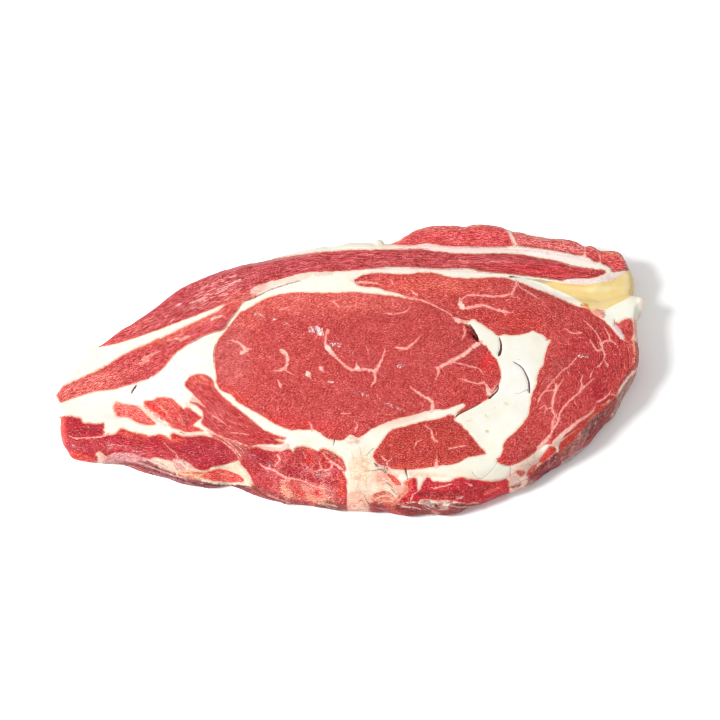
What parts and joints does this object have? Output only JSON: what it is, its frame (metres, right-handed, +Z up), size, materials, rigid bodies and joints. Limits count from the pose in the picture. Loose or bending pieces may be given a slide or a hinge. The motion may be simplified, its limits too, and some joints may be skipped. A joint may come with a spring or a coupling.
{
  "type": "raw ribeye steak",
  "caption": "Thick raw rib steak lying flat, with a round marbled eye, a crescent cap, long strips, pale fat seams and a thin tail.",
  "frame": {"origin": "on the surface it lies on, under the middle of the slice's box", "axes": "+X along the length, from the thin tail to the thick end; +Y from the rib end towards the long strips; +Z up out of the cut face"},
  "size_m": [0.296, 0.1656, 0.0209],
  "materials": {
    "raw_beef": "moist raw beef: bright red lean with fine marbling, creamy white fat in seams and blocks, a waxy yellow ligament, and a duller grey-brown skin on the outer wall"
  },
  "bodies": {
    "root": {"steak": "raw_beef"}
  },
  "joints": []
}
